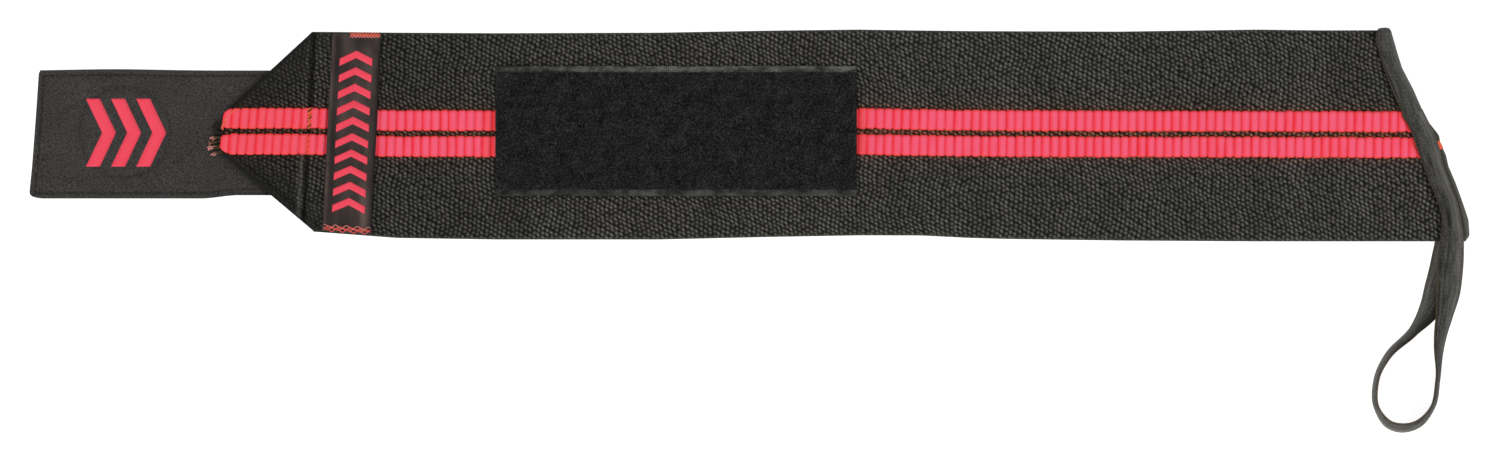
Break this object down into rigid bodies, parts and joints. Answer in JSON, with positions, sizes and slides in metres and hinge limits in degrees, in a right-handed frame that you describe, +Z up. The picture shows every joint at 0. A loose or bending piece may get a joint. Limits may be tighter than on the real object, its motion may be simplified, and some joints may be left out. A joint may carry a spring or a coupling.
{
  "type": "wrist wrap",
  "caption": "Elastic wrist wrap laid flat: striped woven band, hook-and-loop closing tab, pile patch, woven label and a bound end with a thumb loop.",
  "frame": {"origin": "on the surface the wrap lies on, under the middle of its whole length and of the band's width", "axes": "+X along the band from the closing tab to the thumb loop, +Y across the band away from the loop, +Z up out of the band's outer face"},
  "size_m": [0.533, 0.1503, 0.0104],
  "materials": {
    "band_elastic": "coarse woven elastic, charcoal black",
    "stripe_red": "ribbed red elastic cords woven into the band",
    "pile_black": "matt black pile with flat selvedges",
    "label_satin": "black woven satin",
    "tab_cloth": "close black cloth with a stitched hem",
    "hook_black": "black moulded hooks on tape",
    "thumb_tape": "fine ribbed black tape"
  },
  "bodies": {
    "root": {"elastic_band": "band_elastic", "stripe_upper": "stripe_red", "stripe_lower": "stripe_red", "loop_patch": "pile_black", "woven_label": "label_satin", "tab_face": "tab_cloth", "hook_tape": "hook_black", "thumb_tape": "thumb_tape"}
  },
  "joints": []
}
